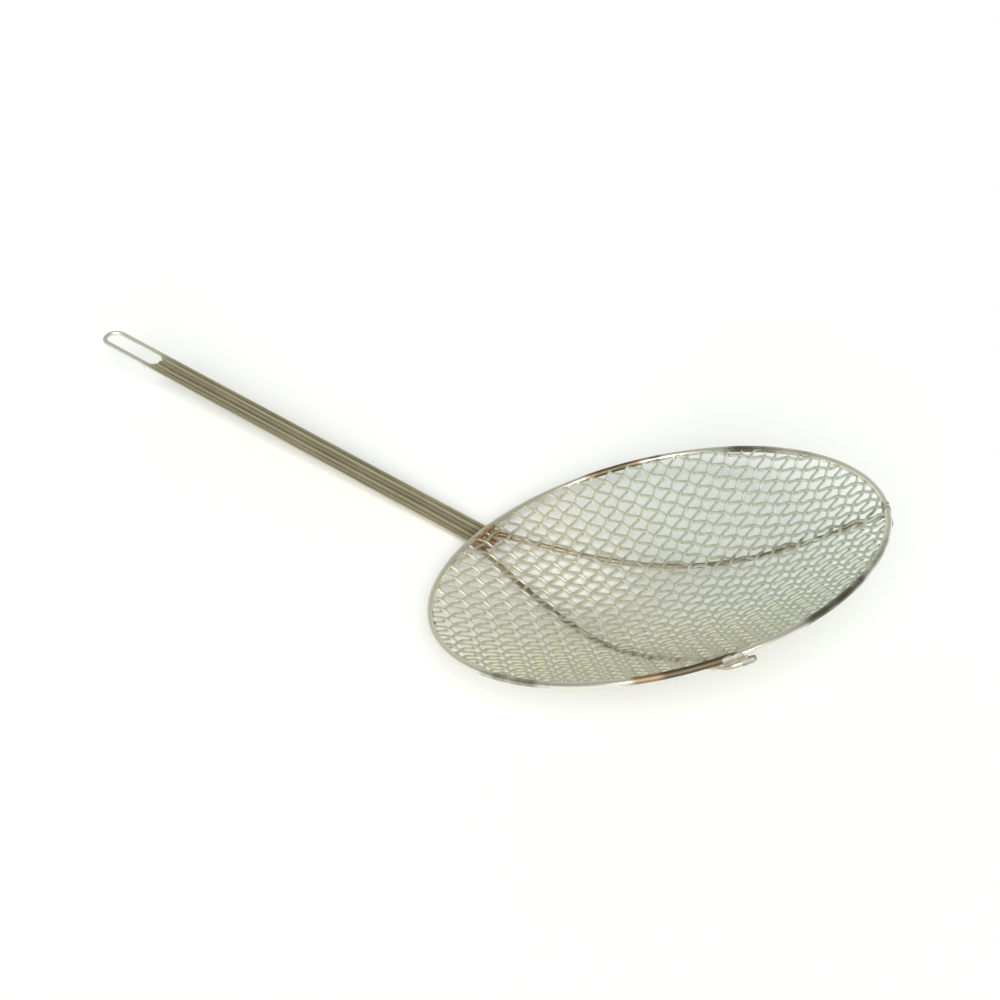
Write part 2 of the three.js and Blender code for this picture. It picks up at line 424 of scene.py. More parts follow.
class Finish:
    """A node tree that grows by one node at a time."""

    def __init__(self, owner):
        owner.use_nodes = True
        self.owner = owner
        self.tree = owner.node_tree
        self.tree.nodes.clear()

    def node(self, kind, settings=None, sockets=None, output=0):
        made = self.tree.nodes.new(kind)
        for key, value in (settings or {}).items():
            setattr(made, key, value)
        for key, value in (sockets or {}).items():
            if isinstance(value, Value):
                self.tree.links.new(value.socket, made.inputs[key])
            else:
                made.inputs[key].default_value = value
        if not made.outputs:
            return None
        return Value(self, made.outputs[output])

    def noise(self, place, scale, detail, roughness=0.55):
        sockets = {"Vector": place, "Scale": scale, "Detail": detail, "Roughness": roughness}
        return self.node("ShaderNodeTexNoise", {}, sockets)

    def ramp(self, value, low, high):
        settings = {"interpolation_type": "SMOOTHSTEP"}
        return self.node("ShaderNodeMapRange", settings, {"Value": value, "From Min": low, "From Max": high})

    def blend(self, share, first, second):
        """Mixes two colours, which are the Mix node's sockets 6 and 7 and its output 2."""
        return self.node("ShaderNodeMix", {"data_type": "RGBA"}, {0: share, 6: first, 7: second}, output=2)

    def vectors(self, operation, first, second, output="Vector"):
        return self.node("ShaderNodeVectorMath", {"operation": operation}, {0: first, 1: second}, output)

    def object_place(self):
        return self.node("ShaderNodeTexCoord", output="Object")

    def stretched(self, name, along, around):
        run = self.node("ShaderNodeAttribute", {"attribute_name": name}, output="Vector")
        return self.vectors("MULTIPLY", run, (along, around, around))

    def painted(self, name):
        return self.node("ShaderNodeAttribute", {"attribute_name": name}, output="Fac")

    def metal(self, colour, roughness, bump, depth, bareness=1.0):
        relief = {"Height": bump, "Distance": depth, "Strength": RELIEF_STRENGTH}
        normal = self.node("ShaderNodeBump", {}, relief)
        sockets = {"Base Color": colour, "Metallic": bareness, "Roughness": roughness, "Normal": normal}
        surface = self.node("ShaderNodeBsdfPrincipled", {}, sockets)
        self.node("ShaderNodeOutputMaterial", {}, {"Surface": surface})
        return self.owner


def solid(colour, share=1.0):
    return (*(share * channel for channel in colour), 1.0)


def sizes():
    return bpy.context.scene.skimmer_sizes


def brazes():
    return bpy.context.scene.skimmer_brazes


def colours():
    return bpy.context.scene.skimmer_colours


# Shape of the skimmer with its hoop level

def rest_pose():
    """The loop's axis in the record tells how far the handle still rises when the skimmer lies on a table."""
    tilt = sizes().handle_rise - math.atan2(LOOP_AXIS[0], LOOP_AXIS[2])
    return Matrix.Translation((HOOP_LOW + HOOP_HIGH) / 2) @ Matrix.Rotation(-tilt, 4, "Y")


def dish_height(radius):
    share = (radius / sizes().hoop_radius) ** 2
    return -sizes().bowl_depth * (1 - share) * (1 - sizes().edge_ease * share)


def dish_slope(radius):
    size = sizes()
    share = (radius / size.hoop_radius) ** 2
    steepness = 1 + size.edge_ease - 2 * size.edge_ease * share
    return size.bowl_depth * (2 * radius / size.hoop_radius**2) * steepness


def drop_at_hoop():
    return sizes().hoop_wire / 2 + sizes().seat_gap + sizes().frame_wire / 2


def drop_at_foot():
    return sizes().hoop_wire / 2 + sizes().foot_gap + sizes().frame_wire / 2


def drop_at_cloth():
    return sizes().cloth_wire + sizes().frame_wire / 2


def loop_radius():
    return sizes().outer_wire * sizes().pitch_at_loop


def loop_start():
    return sizes().handle_length - loop_radius()


def inner_end():
    return sizes().handle_length - sizes().frame_wire / 2 - sizes().slot_length


def handle_pitch(distance):
    size = sizes()
    return size.pitch_at_hoop + (size.pitch_at_loop - size.pitch_at_hoop) * distance / loop_start()


def handle_point(distance, y):
    size = sizes()
    x = -size.hoop_radius - distance * math.cos(size.handle_rise)
    return Vector((x, y, -drop_at_hoop() + distance * math.sin(size.handle_rise)))


def on_handle(distance):
    """The place on the handle's line at a distance from the hoop, turned to the handle's slope."""
    return Matrix.Translation(handle_point(distance, 0)) @ Matrix.Rotation(sizes().handle_rise, 4, "Y")


def hoop_point(angle, height, side=1):
    radius = sizes().hoop_radius
    return Vector((radius * math.cos(angle), side * radius * math.sin(angle), height))


def foot_point(angle, side=1):
    return hoop_point(angle, -drop_at_foot(), side)


def rib_point(share, side=1):
    size = sizes()
    start = handle_point(0, side * size.outer_wire * size.pitch_at_hoop)
    point = start.lerp(foot_point(size.rib_spread, side), share)
    radius = min(math.hypot(point.x, point.y), size.hoop_radius)
    late = (radius / size.hoop_radius) ** RIB_LEAVES
    drop_at_rim = drop_at_hoop() + share * (drop_at_foot() - drop_at_hoop())
    point.z = dish_height(radius) - drop_at_cloth() - late * (drop_at_rim - drop_at_cloth())
    return point


def rib_length():
    size = sizes()
    return (foot_point(size.rib_spread) - handle_point(0, size.outer_wire * size.pitch_at_hoop)).length


def corner(first, middle, last, steps):
    inside = [step / steps for step in range(1, steps)]
    return [first.lerp(middle, share).lerp(middle.lerp(last, share), share) for share in inside]


def spaced(first, last, count):
    return [first + (last - first) * step / (count - 1) for step in range(count)]


def foot_path(side=1):
    size = sizes()
    tip = size.rib_spread - size.rib_foot / size.hoop_radius
    bend = size.rib_spread - size.rib_bend / size.hoop_radius
    return [foot_point(angle, side) for angle in spaced(tip, bend, FOOT_STEPS)]


def frame_path():
    """One side of the frame wire, from the tip of its foot to the end of the hanging loop."""
    size = sizes()
    foot = foot_path()
    rib_shares = spaced(1 - size.rib_bend / rib_length(), size.joint_bend / rib_length(), RIB_STEPS)
    rib = [rib_point(share) for share in rib_shares]
    handle = []
    for distance in spaced(size.joint_bend, loop_start(), HANDLE_STEPS):
        handle.append(handle_point(distance, size.outer_wire * handle_pitch(distance)))
    loop = []
    for angle in spaced(0, math.pi / 2, LOOP_STEPS)[1:]:
        distance = loop_start() + loop_radius() * math.sin(angle)
        loop.append(handle_point(distance, loop_radius() * math.cos(angle)))
    bend = corner(foot[-1], foot_point(size.rib_spread), rib[0], FOOT_BEND_STEPS)
    joint = corner(rib[-1], rib_point(0), handle[0], JOINT_BEND_STEPS)
    return foot + bend + rib + joint + handle + loop


# Modelling steps

def clear_selection():
    if bpy.context.object and bpy.context.object.mode != "OBJECT":
        bpy.ops.object.mode_set(mode="OBJECT")
    bpy.ops.object.select_all(action="DESELECT")


def select_only(*pieces):
    clear_selection()
    for piece in pieces:
        piece.select_set(True)
    bpy.context.view_layer.objects.active = pieces[0]


@contextmanager
def editing(piece):
    select_only(piece)
    bpy.ops.object.mode_set(mode="EDIT")
    yield
    bpy.ops.object.mode_set(mode="OBJECT")


def place(piece, matrix):
    select_only(piece)
    piece.matrix_world = matrix
    bpy.ops.object.transform_apply(location=True, rotation=True, scale=True)


def named(name):
    piece = bpy.context.object
    piece.name = name
    piece.data.name = name
    return piece


def twin(piece, name):
    select_only(piece)
    bpy.ops.object.duplicate()
    return named(name)


def path_frames(points, beyond):
    chain = [*points, beyond]
    heading = (chain[1] - chain[0]).normalized()
    turn = heading.to_track_quat("Z", "Y")
    frames = [Matrix.Translation(points[0]) @ turn.to_matrix().to_4x4()]
    for before, here, after in zip(chain, chain[1:], chain[2:]):
        following = ((here - before).normalized() + (after - here).normalized()).normalized()
        turn = heading.rotation_difference(following) @ turn
        heading = following
        frames.append(Matrix.Translation(here) @ turn.to_matrix().to_4x4())
    return frames


def move_selected(mesh, matrix):
    edit = bmesh.from_edit_mesh(mesh)
    bmesh.ops.transform(edit, matrix=matrix, verts=[v for v in edit.verts if v.select])
    bmesh.update_edit_mesh(mesh)


def draw_wire(name, points, diameter, sides=WIRE_SIDES, beyond=None, filled="NGON"):
    """Extrudes a round section along a path. A point beyond the path's end leaves that end open."""
    frames = path_frames(points, beyond or 2 * points[-1] - points[-2])
    clear_selection()
    bpy.ops.mesh.primitive_circle_add(vertices=sides, radius=diameter / 2, fill_type=filled)
    wire = named(name)
    place(wire, frames[0])
    with editing(wire):
        bpy.ops.mesh.select_all(action="SELECT")
        for here, following in zip(frames, frames[1:]):
            bpy.ops.mesh.extrude_region_move()
            move_selected(wire.data, following @ here.inverted())
        if beyond:
            bpy.ops.mesh.delete(type="ONLY_FACE")
    mark_run(wire, points, frames, diameter / 2)
    return wire


def round_cut_ends(wire):
    rounding = sizes().frame_wire * END_ROUNDING
    with editing(wire):
        bpy.ops.mesh.select_mode(type="FACE")
        bpy.ops.mesh.select_face_by_sides(number=WIRE_SIDES, type="EQUAL", extend=False)
        bpy.ops.mesh.bevel(offset=rounding, segments=ROUNDING_STEPS, affect="EDGES")


def close_normals(piece):
    with editing(piece):
        bpy.ops.mesh.select_all(action="SELECT")
        bpy.ops.mesh.normals_make_consistent(inside=False)


def apply_modifier(piece, kind, **settings):
    select_only(piece)
    modifier = piece.modifiers.new(kind.lower(), kind)
    for key, value in settings.items():
        setattr(modifier, key, value)
    bpy.ops.object.modifier_apply(modifier=modifier.name)


def uneven(piece, amount, grain):
    texture = bpy.data.textures.new(piece.name + "_uneven", "CLOUDS")
    texture.noise_scale = grain
    apply_modifier(piece, "DISPLACE", texture=texture, strength=amount, mid_level=0.5, texture_coords="LOCAL")


def join(name, pieces):
    select_only(*pieces)
    if len(pieces) > 1:
        bpy.ops.object.join()
    return named(name)


def points_of(piece):
    flat = np.empty(len(piece.data.vertices) * 3)
    piece.data.vertices.foreach_get("co", flat)
    return flat.reshape(-1, 3)


def paint(piece, name, values):
    """Keeps a number, or a vector, for each point of a piece."""
    kind, field = ("FLOAT_VECTOR", "vector") if values.ndim == 2 else ("FLOAT", "value")
    layer = piece.data.attributes.get(name) or piece.data.attributes.new(name, kind, "POINT")
    layer.data.foreach_set(field, np.ascontiguousarray(values, dtype=np.float32).ravel())


def paint_evenly(piece, name, value):
    paint(piece, name, np.full(len(piece.data.vertices), value))


def mark_run(wire, points, frames, radius):
    """Paints how far along its wire, and at which side of it, each point lies."""
    spots = points_of(wire)
    path = np.array(points)
    along = np.concatenate([[0], np.cumsum(np.linalg.norm(np.diff(path, axis=0), axis=1))])
    nearest = np.argmin(((spots[:, None, :] - path[None, :, :]) ** 2).sum(2), axis=1)
    backs = np.array([matrix.inverted() for matrix in frames])
    local = np.einsum("nij,nj->ni", backs[nearest], np.column_stack([spots, np.ones(len(spots))]))
    paint(wire, "run", np.column_stack([along[nearest], local[:, :2] / radius]))


def heat_near(spots, places, reach):
    """Strongest of the soft round patches about some places."""
    strongest = np.zeros(len(spots))
    for spot in places:
        distance = np.linalg.norm(spots - np.array(spot), axis=1)
        strongest = np.maximum(strongest, np.exp(-((distance / reach) ** 2)))
    return strongest


def marks_around(spots, marks):
    """Strongest of the soft patches around the hoop."""
    angle = np.degrees(np.arctan2(spots[:, 1], spots[:, 0]))
    strongest = np.zeros(len(spots))
    for middle, reach, amount in marks:
        away = (angle - middle + 180) % 360 - 180
        strongest = np.maximum(strongest, amount * np.exp(-((away / reach) ** 4)))
    return strongest


def fade_in(distance, softness):
    """Rises from 0 to 1 where a distance passes zero."""
    return 1 / (1 + np.exp(-distance / softness))


def finish_piece(piece, material, slot, *nodes):
    """Tips a finished piece to its rest pose, dresses it and hands it to the frame."""
    close_normals(piece)
    place(piece, rest_pose())
    bpy.ops.object.shade_smooth_by_angle(angle=SMOOTH_ANGLE)
    piece.data.materials.clear()
    piece.data.materials.append(material)
    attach(piece, "root")
    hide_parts(*nodes)


def material_for(name, make):
    name = "skimmer_" + name
    known = bpy.data.materials.get(name)
    return known or make(Finish(bpy.data.materials.new(name)))


# Finishes

def frame_finish(finish):
    """Plated wire: olive along the handle with painted highlights and shade along its wires, bare and paler
    on the loop, partly as a painted reflection, tanned and burnt along the ribs.
    """
    tint = colours()
    spot = finish.object_place()
    streak = finish.noise(finish.stretched("run", along=28.0, around=2.6), scale=1.0, detail=4.0)
    blotch = finish.noise(spot, scale=70.0, detail=4.0)
    grain = finish.noise(spot, scale=1400.0, detail=2.0)
    rib = finish.painted("rib")
    loop = finish.painted("loop")
    # Painted highlight and shade: each handle wire is lighter or darker by its painted lightness.
    shade = finish.ramp(streak + 0.4 * finish.painted("painted_light_and_shade"), low=0.2, high=0.8)
    steel = finish.blend(shade, solid(tint.frame_steel, 0.7), solid(tint.frame_steel, 1.4))
    # The loop is paler, partly as a painted reflection.
    bare_and_sheen = finish.blend(shade, solid(tint.loop_steel_and_sheen, 0.82), solid(tint.loop_steel_and_sheen, 1.1))
    steel = finish.blend(loop, steel, bare_and_sheen)
    steel = finish.blend(rib, steel, solid(tint.rib_tan))
    browned = finish.ramp(finish.painted("scorch") + 0.8 * blotch, low=0.5, high=1.0)
    steel = finish.blend(browned * 0.75, steel, solid(tint.heat_brown))
    darkening = finish.ramp(blotch + 0.35 * finish.painted("dark"), low=0.56, high=0.82) * rib
    steel = finish.blend(darkening * 0.4, steel, solid(tint.burn_and_shade_dark))
    rough = FRAME_ROUGHNESS + 0.12 * streak + 0.1 * rib + 0.1 * browned + 0.15 * loop
    return finish.metal(steel, rough, streak + 0.4 * grain, FRAME_RELIEF)


def hoop_finish(finish):
    """Bright wire with brown places, and dark places that are partly burns and partly painted shade."""
    tint = colours()
    spot = finish.object_place()
    streak = finish.noise(finish.stretched("run", along=22.0, around=2.2), scale=1.0, detail=4.0)
    blotch = finish.noise(spot, scale=90.0, detail=3.0)
    grain = finish.noise(spot, scale=1500.0, detail=2.0)
    steel = finish.blend(streak, solid(tint.hoop_steel, 0.85), solid(tint.hoop_steel, 1.15))
    browned = finish.ramp(finish.painted("scorch") + 0.7 * blotch, low=0.55, high=0.95)
    steel = finish.blend(browned * 0.95, steel, solid(tint.heat_brown))
    # The dark patches are partly burns and partly painted shade.
    darkening = finish.ramp(finish.painted("dark") + 0.7 * blotch, low=0.7, high=1.15)
    steel = finish.blend(darkening * 0.9, steel, solid(tint.burn_and_shade_dark))
    rough = HOOP_ROUGHNESS + 0.14 * streak + 0.25 * browned
    relief = streak + 0.3 * grain
    return finish.metal(steel, rough, relief, HOOP_RELIEF, HOOP_BARENESS)


def cloth_finish(finish):
    """Tinned cloth, from beige to sage, with painted shade at its crossings, and tinted near the ribs and
    joints.
    """
    tint = colours()
    spot = finish.object_place()
    cloud = finish.noise(spot, scale=30.0, detail=3.0)
    grain = finish.noise(spot, scale=900.0, detail=3.0)
    along = finish.vectors("DOT_PRODUCT", spot, CLOTH_CHANGE, output="Value")
    sage = finish.ramp(along + 0.08 * cloud, low=0.11, high=0.28)
    tin = finish.blend(sage, solid(tint.cloth_beige), solid(tint.cloth_sage))
    # Painted shade: the cloth darkens towards its crossings.
    tin = finish.blend((1.0 - finish.painted("span")) * 0.15, tin, solid(tint.cloth_sage, 0.5))
    browned = finish.painted("scorch") * finish.ramp(cloud + grain, low=0.7, high=1.2)
    tin = finish.blend(browned, tin, solid(tint.heat_brown))
    tin = finish.blend(finish.painted("stain"), tin, solid(tint.rib_tan, 0.5))
    rough = CLOTH_ROUGHNESS + 0.2 * grain
    return finish.metal(tin, rough, grain, CLOTH_RELIEF, CLOTH_BARENESS)


def braze_finish(finish):
    """Brazing metal, grey where it stayed cool and copper brown where it was hot."""
    tint = colours()
    spot = finish.object_place()
    flow = finish.noise(spot, scale=320.0, detail=4.0)
    grain = finish.noise(spot, scale=1800.0, detail=3.0)
    hot = finish.painted("scorch")
    tin = finish.blend(flow, solid(tint.hoop_steel, 0.33), solid(tint.hoop_steel, 0.65))
    copper = finish.blend(flow, solid(tint.braze_copper, 0.75), solid(tint.braze_copper, 1.3))
    metal = finish.blend(hot, tin, copper)
    darkening = finish.ramp(flow, low=0.52, high=0.72) * hot
    metal = finish.blend(darkening * 0.6, metal, solid(tint.burn_and_shade_dark))
    rough = BRAZE_ROUGHNESS + 0.25 * grain
    return finish.metal(metal, rough, flow + 0.5 * grain, BRAZE_RELIEF)


# Pieces

class SKIMMER_OT_hoop(bpy.types.Operator):
    """Model the wire hoop at the mouth of the bowl"""

    bl_idname = "skimmer.hoop"
    bl_label = "Rim Hoop"

    def execute(self, context):
        size = sizes()
        wire_radius = size.hoop_wire / 2
        clear_selection()
        bpy.ops.mesh.primitive_torus_add(
            major_radius=size.hoop_radius, minor_radius=wire_radius,
            major_segments=HOOP_STEPS, minor_segments=WIRE_SIDES,
        )
        hoop = named("hoop")
        spots = points_of(hoop)
        radius = np.hypot(spots[:, 0], spots[:, 1])
        along = np.arctan2(spots[:, 1], spots[:, 0]) * size.hoop_radius
        section = np.column_stack([radius - size.hoop_radius, spots[:, 2]]) / wire_radius
        paint(hoop, "run", np.column_stack([along, section]))
        paint(hoop, "scorch", marks_around(spots, HOOP_BROWN))
        # Dark patches: partly burns, partly painted shade
        paint(hoop, "dark", marks_around(spots, HOOP_BURNS_AND_SHADE))
        uneven(hoop, size.hoop_wire * HOOP_WANDER, HOOP_WAVE)
        finish_piece(hoop, material_for("hoop_steel", hoop_finish), "hoop", "rim_hoop")
        return {"FINISHED"}


class SKIMMER_OT_cloth(bpy.types.Operator):
    """Weave the wire cloth flat, trim it to the hoop and dish it"""

    bl_idname = "skimmer.cloth"
    bl_label = "Woven Cloth"

    def execute(self, context):
        warp = self.sheet("warp")
        weft = twin(warp, "weft")
        place(weft, Matrix.Rotation(math.pi / 2, 4, "Z") @ Matrix.Rotation(math.pi, 4, "X"))
        for half, across in ((warp, 0), (weft, 1)):
            self.trim(half)
            # How far each point lies from a crossing, for the painted shade at the crossings
            paint(half, "span", np.abs(np.sin(math.pi * points_of(half)[:, across] / sizes().cloth_pitch)))
        cloth = join("cloth", [warp, weft])
        place(cloth, Matrix.Rotation(sizes().cloth_turn, 4, "Z"))
        self.dish(cloth)
        spots = points_of(cloth)
        joints = [handle_point(0, 0), foot_point(sizes().rib_spread, -1)]
        paint(cloth, "scorch", CLOTH_BROWN * heat_near(spots, joints, CLOTH_BROWN_REACH))
        paint(cloth, "stain", self.rib_stain(spots))
        finish_piece(cloth, material_for("cloth_tin", cloth_finish), "mesh", "mesh_bowl")
        return {"FINISHED"}

    def sheet(self, name):
        """All the wires of one direction, every second one half a wave along."""
        size = sizes()
        pitch = size.cloth_pitch
        waves = math.ceil(size.hoop_radius / pitch) + 1
        wires = int((size.hoop_radius - size.hoop_wire / 2) / pitch)
        wave = []
        for step in range(WAVE_STEPS + 1):
            share = 2 * step / WAVE_STEPS
            wave.append(Vector((pitch * share, 0, size.cloth_wire / 2 * math.cos(math.pi * share))))
        beyond = wave[-1] + wave[1] - wave[0]
        even = draw_wire(name, wave, size.cloth_wire, CLOTH_SIDES, beyond, "NOTHING")
        self.repeat(even, waves, (2 * pitch, 0, 0))
        odd = twin(even, name + "_odd")
        for half, shift in ((even, 0), (odd, 1)):
            wide = wires - (wires + shift) % 2
            place(half, Matrix.Translation((-pitch * (waves + shift), -pitch * wide, 0)))
            self.repeat(half, wide + 1, (0, 2 * pitch, 0))
        return join(name, [even, odd])

    def repeat(self, piece, count, offset):
        apply_modifier(
            piece, "ARRAY", count=count, use_relative_offset=False, use_constant_offset=True,
            constant_offset_displace=offset, use_merge_vertices=True, merge_threshold=WEAVE_MERGE,
        )

    def trim(self, half):
        size = sizes()
        end = size.hoop_radius - size.hoop_wire / 2 + size.cloth_reach
        with editing(half):
            bpy.ops.mesh.select_mode(type="VERT")
            bpy.ops.mesh.select_all(action="DESELECT")
            edit = bmesh.from_edit_mesh(half.data)
            for vertex in edit.verts:
                vertex.select = math.hypot(vertex.co.x, vertex.co.y) > end
            edit.select_flush_mode()
            bmesh.update_edit_mesh(half.data)
            bpy.ops.mesh.delete(type="VERT")
            bpy.ops.mesh.select_all(action="SELECT")
            bpy.ops.mesh.fill_holes(sides=0)

    def dish(self, cloth):
        spots = points_of(cloth)
        radius = np.maximum(np.hypot(spots[:, 0], spots[:, 1]), TINY)
        slope = dish_slope(radius)
        lean = np.sqrt(1 + slope**2)
        shift = -slope / lean * spots[:, 2] / radius
        moved = spots * np.column_stack([1 + shift, 1 + shift, 1 / lean])
        moved[:, 2] += dish_height(radius)
        cloth.data.vertices.foreach_set("co", moved.ravel())
        cloth.data.update()

    def rib_stain(self, spots):
        """Tint that the hot ribs left on the cloth above them, stronger where the ribs are burnt."""
        flat = (spots + (0, STAIN_SHIFT, 0)) * np.array(FLAT)
        stain = np.zeros(len(spots))
        for side, first, last, amount in RIB_STAINS:
            shares = spaced(first, last, round((last - first) * STAIN_STEPS))
            line = [rib_point(share, side) * FLAT for share in shares]
            stain = np.maximum(stain, amount * heat_near(flat, line, STAIN_REACH))
        return stain


class SKIMMER_OT_frame(bpy.types.Operator):
    """Bend the long wire of the hanging loop, the handle's sides and the ribs"""

    bl_idname = "skimmer.frame"
    bl_label = "Frame Wire"

    def execute(self, context):
        size = sizes()
        path = frame_path()
        mirrored = path[-2] * Vector((1, -1, 1))
        wire = draw_wire("frame_wire_bent", path, size.frame_wire, beyond=mirrored)
        round_cut_ends(wire)
        apply_modifier(
            wire, "MIRROR", use_axis=(False, True, False), use_mirror_merge=True, merge_threshold=MIRROR_MERGE
        )
        self.mark(wire)
        finish_piece(wire, material_for("frame_steel", frame_finish), "frame", "frame_wire")
        return {"FINISHED"}

    def mark(self, wire):
        size = sizes()
        spots = points_of(wire)
        past_hoop = spots[:, 0] + size.hoop_radius
        past_slot = -past_hoop - inner_end() * math.cos(size.handle_rise)
        brown = [rib_point(share, side) for share, side in RIB_BROWN]
        darkening = [rib_point(share, side) for share, side in RIB_BURNT]
        tip = TIP_DARK * heat_near(spots, [foot_path(-1)[0]], TIP_DARK_REACH)
        paint(wire, "rib", fade_in(past_hoop, RIB_FADE))
        paint(wire, "loop", fade_in(past_slot, LOOP_FADE))
        paint(wire, "scorch", heat_near(spots, brown, RIB_BROWN_REACH))
        paint(wire, "dark", np.maximum(heat_near(spots, darkening, RIB_BURN_REACH), tip))
        # Painted shade darkens the frame wire.
        paint_evenly(wire, "painted_light_and_shade", FRAME_PAINTED_SHADE)


class SKIMMER_OT_handle_wires(bpy.types.Operator):
    """Draw the three shorter wires that fill the handle"""

    bl_idname = "skimmer.handle_wires"
    bl_label = "Handle Wires"

    def execute(self, context):
        size = sizes()
        joint = handle_point(-size.inner_tail, 0)
        for pitches, name, painted_light_and_shade in INNER_WIRES:
            path = []
            for distance in spaced(-size.inner_tail, inner_end(), INNER_STEPS):
                sway = SWAY * math.sin(SWAY_RATE * distance + SWAY_SHIFT * pitches)
                path.append(handle_point(distance, pitches * handle_pitch(distance) + sway))
            wire = draw_wire("inner_wire_" + name, path, size.frame_wire)
            round_cut_ends(wire)
            paint(wire, "scorch", heat_near(points_of(wire), [joint], HANDLE_BROWN_REACH))
            # Painted lightness of each inner wire: highlights on the left and right wires, shade on the
            # middle one.
            paint_evenly(wire, "painted_light_and_shade", painted_light_and_shade)
            finish_piece(wire, material_for("frame_steel", frame_finish), "frame", "handle_wire_" + name)
        return {"FINISHED"}


def melt(name, parts, swell):
    """Fuses rough parts into one smooth body of brazing metal."""
    body = join(name, parts)
    apply_modifier(body, "REMESH", mode="VOXEL", voxel_size=brazes().grain)
    apply_modifier(body, "SMOOTH", factor=SMOOTHING, iterations=SMOOTHING_ROUNDS)
    uneven(body, swell, RIPPLE)
    return body


def coated_wires(start, end):
    """The five handle wires between two distances from the hoop, as thick as their coat makes them."""
    size = sizes()
    parts = []
    for pitches in range(-size.outer_wire, size.outer_wire + 1):
        path = [handle_point(step, pitches * handle_pitch(step)) for step in spaced(start, end, COAT_STEPS)]
        parts.append(draw_wire("coat", path, size.frame_wire + 2 * brazes().coat))
    return parts


def puddle(start, end):
    """A flat pool of metal across the handle wires, from just above their middle to below them."""
    size = sizes()
    middle = (start + end) / 2
    top = brazes().pool_rise
    low = -size.frame_wire / 2 - brazes().pool_depth
    clear_selection()
    bpy.ops.mesh.primitive_cube_add(size=1)
    pool = named("pool")
    lift = Matrix.Translation((0, 0, (top + low) / 2))
    scale = Matrix.Diagonal((end - start, 2 * size.outer_wire * handle_pitch(middle), top - low, 1))
    place(pool, on_handle(middle) @ lift @ scale)
    with editing(pool):
        bpy.ops.mesh.select_all(action="SELECT")
        bpy.ops.mesh.bevel(offset=brazes().pool_rounding, segments=ROUNDING_STEPS, affect="EDGES")
    return pool


class SKIMMER_OT_handle_braze(bpy.types.Operator):
    """Melt the brazing metal between the handle wires and the hoop"""

    bl_idname = "skimmer.handle_braze"
    bl_label = "Handle Braze"

    def execute(self, context):
        size = sizes()
        half_pitch = size.pitch_at_hoop / 2
        reach = (size.outer_wire * size.pitch_at_hoop + half_pitch) / size.hoop_radius
        angles = spaced(math.pi - reach, math.pi + reach, SEAM_STEPS)
        arc = [hoop_point(angle, -size.seat_gap) for angle in angles]
        parts = [draw_wire("hoop_coat", arc, size.hoop_wire + brazes().hoop_coat)]
        parts += coated_wires(-brazes().coat_inside, brazes().coat_outside)
        parts.append(puddle(-brazes().pool_inside, brazes().pool_outside))
        braze = melt("handle_braze_metal", parts, HANDLE_SWELL)
        paint_evenly(braze, "scorch", HANDLE_COPPER)
        finish_piece(braze, material_for("braze", braze_finish), "braze", "handle_braze")
        return {"FINISHED"}


class SKIMMER_OT_loop_braze(bpy.types.Operator):
    """Melt the brazing metal that ties the handle wires beside the loop"""

    bl_idname = "skimmer.loop_braze"
    bl_label = "Loop Braze"

    def execute(self, context):
        end = inner_end()
        slot_radius = loop_radius() - sizes().frame_wire / 2
        pool = puddle(end - brazes().loop_length, end + LOOP_FILL * slot_radius)
        clear_selection()
        bpy.ops.mesh.primitive_cylinder_add(vertices=SLOT_SIDES, radius=slot_radius, depth=SLOT_CUT)
        cutter = named("slot_cutter")
        place(cutter, on_handle(end + slot_radius))
        apply_modifier(pool, "BOOLEAN", operation="DIFFERENCE", object=cutter)
        bpy.data.objects.remove(cutter)
        braze = melt("loop_braze_metal", [pool], SWELL)
        finish_piece(braze, material_for("frame_steel", frame_finish), "braze", "loop_braze")
        return {"FINISHED"}


class SKIMMER_OT_rib_brazes(bpy.types.Operator):
    """Melt the brazing metal between the rib feet and the hoop"""

    bl_idname = "skimmer.rib_brazes"
    bl_label = "Rib Brazes"

    def execute(self, context):
        size = sizes()
        first = size.rib_spread - brazes().seam_along / size.hoop_radius
        last = size.rib_spread + brazes().seam_past / size.hoop_radius
        seam = spaced(first, last, SEAM_STEPS)
        web_height = (size.frame_wire + size.foot_gap) / 2 - drop_at_foot()
        for side, name in RIB_SIDES:
            foot = foot_path(side)[1:-1]
            web = [hoop_point(angle, web_height, side) for angle in seam]
            over = [hoop_point(angle, -FOOT_HOOP_SAG, side) for angle in seam[1:-1]]
            parts = [
                draw_wire("foot_coat", foot, size.frame_wire + 2 * brazes().coat),
                draw_wire("web", web, brazes().foot_web),
                draw_wire("hoop_coat", over, size.hoop_wire + brazes().foot_hoop_coat),
            ]
            braze = melt("rib_braze_metal_" + name, parts, SWELL)
            paint_evenly(braze, "scorch", FOOT_COPPER)
            finish_piece(braze, material_for("braze", braze_finish), "braze", "rib_braze_" + name)
        return {"FINISHED"}


